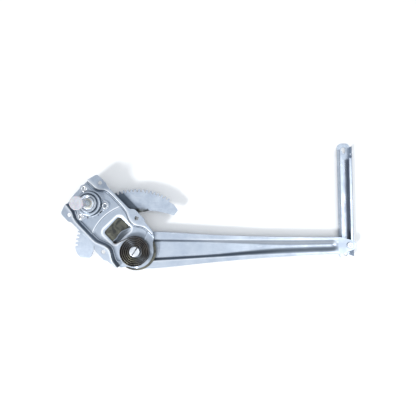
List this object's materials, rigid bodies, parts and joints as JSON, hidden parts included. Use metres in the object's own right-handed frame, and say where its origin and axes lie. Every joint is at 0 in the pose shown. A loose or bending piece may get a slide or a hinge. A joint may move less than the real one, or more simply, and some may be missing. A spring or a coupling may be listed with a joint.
{
  "type": "manual window regulator",
  "caption": "Hand-cranked car window regulator: base plate with braked spindle, toothed sector on a lift arm, counter spring and lift channel.",
  "frame": {"origin": "arm pivot axis, at the back face of the pivot stud", "axes": "+X along the lift arm at rest, +Y along the lift channel, +Z towards the hand crank and the cabin"},
  "size_m": [0.4937, 0.2102, 0.0763],
  "materials": {
    "zinc_plate": "satin zinc plating, cool blue-silver",
    "bright_steel": "bright machined steel",
    "spring_steel": "oiled dark spring steel",
    "dark_steel": "greased dark steel",
    "grey_nylon": "translucent pale grey moulding",
    "white_nylon": "natural nylon",
    "bronze": "sintered bronze"
  },
  "bodies": {
    "base": {"base_plate": "zinc_plate", "pivot_bush": "bronze", "pivot_washer": "dark_steel", "counter_spring": "spring_steel", "drum_housing": "zinc_plate", "housing_eyelet_1": "bright_steel", "housing_eyelet_2": "bright_steel", "housing_eyelet_3": "bright_steel", "spindle_bush": "white_nylon"},
    "arm": {"lift_arm": "zinc_plate", "sector_gear": "zinc_plate", "sector_rivet_1": "bright_steel", "sector_rivet_2": "bright_steel", "sector_rivet_3": "bright_steel", "pivot_stud": "bright_steel", "roller_stud": "bright_steel"},
    "spindle": {"spindle": "bright_steel", "pinion": "dark_steel", "pinion_clip": "spring_steel", "drive_plate": "dark_steel", "brake_spring": "spring_steel"},
    "cap": {"spindle_cap": "grey_nylon"},
    "roller": {"roller": "white_nylon"},
    "guide": {"guide_washer": "white_nylon"},
    "channel": {"lift_channel": "zinc_plate"}
  },
  "joints": [
    {"name": "arm_lift", "type": "hinge", "parent": "base", "child": "arm", "pos_m": [0, 0, 0], "axis": [0, 0, 1], "range_deg": [-33, 71], "deforming": ["counter_spring"]},
    {"name": "spindle_turn", "type": "hinge", "parent": "base", "child": "spindle", "pos_m": [-0.07448, 0.08128, 0], "axis": [0, 0, 1], "range_deg": [-861, 401]},
    {"name": "cap_pull", "type": "slide", "parent": "spindle", "child": "cap", "axis": [0, 0, 1], "range_m": [0, 0.025]},
    {"name": "roller_turn", "type": "hinge", "parent": "arm", "child": "roller", "pos_m": [0.3632, 0, 0], "axis": [0, 0, 1], "continuous": true},
    {"name": "channel_swivel", "type": "hinge", "parent": "arm", "child": "guide", "pos_m": [0.3632, 0, 0], "axis": [0, 0, 1], "range_deg": [-80, 45]},
    {"name": "channel_slide", "type": "slide", "parent": "guide", "child": "channel", "axis": [0, 1, 0], "range_m": [-0.147, 0.004]}
  ],
  "couplings": [
    {"joint": "spindle_turn", "follows": "arm_lift", "ratio": -12.125}
  ]
}
